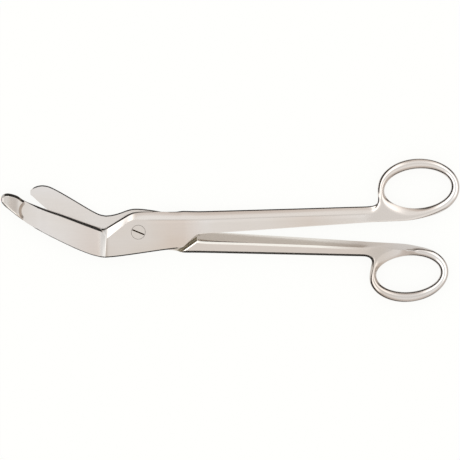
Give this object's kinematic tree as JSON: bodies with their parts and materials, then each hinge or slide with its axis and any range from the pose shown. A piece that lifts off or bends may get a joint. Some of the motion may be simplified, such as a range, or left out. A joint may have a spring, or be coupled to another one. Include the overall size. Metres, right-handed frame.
{
  "type": "bandage scissors",
  "caption": "Angled bandage scissors: a blunt probe-nosed lower jaw, a plain upper jaw, long bevelled shanks and oval finger rings on a slotted pivot screw.",
  "frame": {"origin": "on the pivot axis, at the flat end of the pivot screw, level with the face that lies on the table", "axes": "+X along the shanks towards the finger rings, +Z along the pivot axis towards the slotted screw head"},
  "size_m": [0.2035, 0.0636, 0.006],
  "materials": {
    "front_steel": "satin stainless steel, polished rings",
    "rear_steel": "satin stainless steel, polished rings",
    "screw_steel": "turned stainless steel, ground flush"
  },
  "bodies": {
    "plain_half": {"plain_jaw_half": "rear_steel", "pivot_screw": "screw_steel"},
    "probe_half": {"probe_jaw_half": "front_steel"}
  },
  "joints": [
    {"name": "pivot", "type": "hinge", "parent": "plain_half", "child": "probe_half", "pos_m": [0, 0, 0.003], "axis": [0, 0, 1], "range_deg": [-5.5, 75]}
  ]
}
